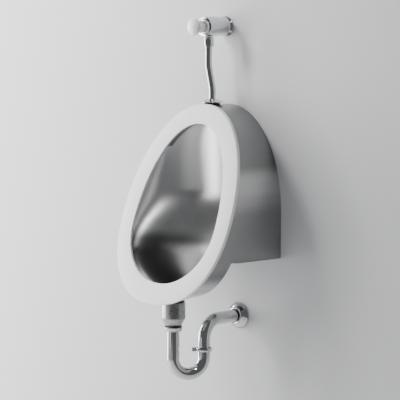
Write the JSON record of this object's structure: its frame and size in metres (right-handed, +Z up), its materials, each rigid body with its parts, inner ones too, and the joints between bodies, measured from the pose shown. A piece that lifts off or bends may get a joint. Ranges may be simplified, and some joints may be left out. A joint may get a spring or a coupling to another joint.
{
  "type": "wall hung urinal",
  "caption": "Brushed stainless wall hung urinal with a leaning egg-shaped rim, exposed push valve, offset flush tube, drain cup and swivel trap.",
  "frame": {"origin": "centre of the four wall fixing holes, on the wall plane", "axes": "+Z up, +Y into the wall, the urinal stands out towards -Y, X = 0 is the bowl's middle plane"},
  "size_m": [0.36, 0.3096, 0.909],
  "materials": {
    "stainless": "satin",
    "bowl_steel": "brushed",
    "cup_steel": "brushed",
    "button_steel": "satin",
    "screw_steel": "satin",
    "spring_steel": "satin",
    "chrome": "polished",
    "brass": "turned",
    "black_rubber": "matte"
  },
  "bodies": {
    "urinal": {"front_rim": "stainless", "casing_shell": "stainless", "chin_shell": "stainless", "bottom_panel": "stainless", "panel_screws": "screw_steel", "back_frame": "stainless", "hanger_bar": "stainless", "wall_bracket": "screw_steel", "bowl": "bowl_steel", "flush_channel": "bowl_steel", "feed_elbow": "bowl_steel", "inlet_spud": "brass", "spud_washer": "screw_steel", "spud_locknut": "brass", "inlet_gasket": "black_rubber", "inlet_rosette": "chrome", "spud_seal": "black_rubber", "flush_tube": "chrome", "valve_body": "chrome", "seat_ring": "brass", "inlet_nipple": "brass", "valve_wall_ring": "chrome", "valve_bonnet": "chrome", "stem_seal": "black_rubber", "bonnet_seal": "black_rubber", "return_spring": "spring_steel", "union_nut": "chrome", "union_washer": "black_rubber", "waste_body": "stainless", "bowl_seal": "black_rubber", "waste_washer": "screw_steel", "waste_locknut": "brass", "strainer": "chrome", "strainer_screw": "screw_steel", "belt_seal": "black_rubber", "drain_cup": "cup_steel", "neck_ring": "black_rubber", "trap_nut": "chrome", "slip_seal": "black_rubber", "trap_u_bend": "chrome", "outlet_elbow": "chrome", "joint_seal": "black_rubber", "clamp_ring": "chrome", "clamp_screw": "screw_steel", "wall_flange": "chrome", "flange_seal": "black_rubber"},
    "button": {"push_button": "button_steel", "button_sleeve": "button_steel", "valve_stem": "screw_steel", "piston_washer": "black_rubber", "piston": "brass", "piston_nut": "brass"}
  },
  "joints": [
    {"name": "button_press", "type": "slide", "parent": "urinal", "child": "button", "axis": [0, 1, 0], "range_m": [0, 0.008], "stiffness_N_per_m": 1500, "springref_m": -0.008, "deforming": ["return_spring"]}
  ]
}
